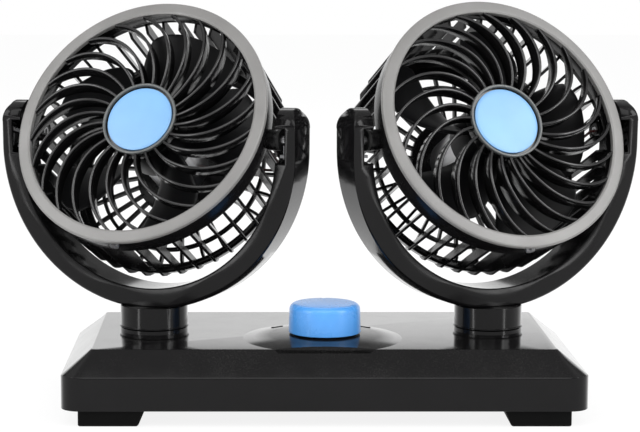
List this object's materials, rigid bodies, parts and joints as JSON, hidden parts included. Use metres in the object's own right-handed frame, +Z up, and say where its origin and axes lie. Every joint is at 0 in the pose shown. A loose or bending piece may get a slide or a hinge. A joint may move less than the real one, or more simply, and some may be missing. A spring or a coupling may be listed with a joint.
{
  "type": "dual-head car fan",
  "caption": "Dashboard fan with two caged fan heads in tilting yokes on swivel posts, on a long flat base with a round speed knob.",
  "frame": {"origin": "centre of the bounding box's bottom face, on the surface under the feet", "axes": "+X to the right seen from the front, -Y towards the front, +Z up"},
  "size_m": [0.2878, 0.1166, 0.1778],
  "materials": {
    "black_plastic": "semi-gloss moulded",
    "dull_black_plastic": "fine spark texture",
    "foot_rubber": "matt",
    "zinc_steel": "zinc plated",
    "switch_case": "matt",
    "blue_plastic": "satin moulded",
    "ceramic": "matt ceramic",
    "lead_sleeve": "flexible sleeve",
    "clip_steel": "dull spring steel",
    "ring_grey": "satin silver-grey",
    "rim_grey": "satin light grey",
    "cap_blue": "satin, pale blue",
    "grille_black": "semi-gloss moulded",
    "housing_black": "semi-gloss moulded",
    "pin_steel": "dark plated",
    "washer_rubber": "matt",
    "motor_case": "zinc plated",
    "impeller_black": "glossy moulded"
  },
  "bodies": {
    "root": {"base_shell": "black_plastic", "base_plate": "dull_black_plastic", "base_screws": "zinc_steel", "switch_body": "switch_case", "switch_nut": "zinc_steel", "speed_resistor": "ceramic", "wire_harness": "lead_sleeve", "cable_grommet": "foot_rubber", "left_foot": "foot_rubber", "right_foot": "foot_rubber"},
    "knob": {"knob": "blue_plastic", "switch_shaft": "zinc_steel"},
    "left_yoke": {"left_swivel_post": "black_plastic", "left_swivel_retainer": "zinc_steel", "left_retainer_screws": "zinc_steel", "left_yoke_front": "black_plastic", "left_yoke_back": "black_plastic", "left_yoke_screws": "zinc_steel", "left_pivot_clips": "clip_steel", "left_arm_lead": "lead_sleeve"},
    "left_head": {"left_trim_ring": "ring_grey", "left_front_grille": "grille_black", "left_hub_rim": "rim_grey", "left_hub_cap": "cap_blue", "left_rear_housing": "housing_black", "left_grille_screw": "zinc_steel", "left_pivot_pins": "pin_steel", "left_pivot_washers": "washer_rubber", "left_motor": "motor_case", "left_motor_screws": "zinc_steel", "left_motor_lead": "lead_sleeve"},
    "left_impeller": {"left_impeller": "impeller_black", "left_motor_shaft": "zinc_steel"},
    "right_yoke": {"right_swivel_post": "black_plastic", "right_swivel_retainer": "zinc_steel", "right_retainer_screws": "zinc_steel", "right_yoke_front": "black_plastic", "right_yoke_back": "black_plastic", "right_yoke_screws": "zinc_steel", "right_pivot_clips": "clip_steel", "right_arm_lead": "lead_sleeve"},
    "right_head": {"right_trim_ring": "ring_grey", "right_front_grille": "grille_black", "right_hub_rim": "rim_grey", "right_hub_cap": "cap_blue", "right_rear_housing": "housing_black", "right_grille_screw": "zinc_steel", "right_pivot_pins": "pin_steel", "right_pivot_washers": "washer_rubber", "right_motor": "motor_case", "right_motor_screws": "zinc_steel", "right_motor_lead": "lead_sleeve"},
    "right_impeller": {"right_impeller": "impeller_black", "right_motor_shaft": "zinc_steel"}
  },
  "joints": [
    {"name": "knob_turn", "type": "hinge", "parent": "root", "child": "knob", "pos_m": [0.001, -0.01962, 0.0474], "axis": [0, 0, 1], "range_deg": [-45, 45]},
    {"name": "left_swivel", "type": "hinge", "parent": "root", "child": "left_yoke", "pos_m": [-0.0747, 0.00009, 0.0365], "axis": [0, 0, 1], "range_deg": [-147.1, 192.9]},
    {"name": "left_tilt", "type": "hinge", "parent": "left_yoke", "child": "left_head", "pos_m": [-0.0747, 0.00009, 0.1192], "axis": [-0.9212, 0.3891, 0], "range_deg": [-121.3, 58.7]},
    {"name": "left_fan_spin", "type": "hinge", "parent": "left_head", "child": "left_impeller", "pos_m": [-0.0747, 0.00009, 0.1192], "axis": [-0.3325, -0.7871, 0.5195], "continuous": true},
    {"name": "right_swivel", "type": "hinge", "parent": "root", "child": "right_yoke", "pos_m": [0.0747, 0.00009, 0.0365], "axis": [0, 0, 1], "range_deg": [-192.9, 147.1]},
    {"name": "right_tilt", "type": "hinge", "parent": "right_yoke", "child": "right_head", "pos_m": [0.0747, 0.00009, 0.1192], "axis": [-0.9212, -0.3891, 0], "range_deg": [-117.8, 62.2]},
    {"name": "right_fan_spin", "type": "hinge", "parent": "right_head", "child": "right_impeller", "pos_m": [0.0747, 0.00009, 0.1192], "axis": [0.3442, -0.8149, 0.4664], "continuous": true}
  ]
}
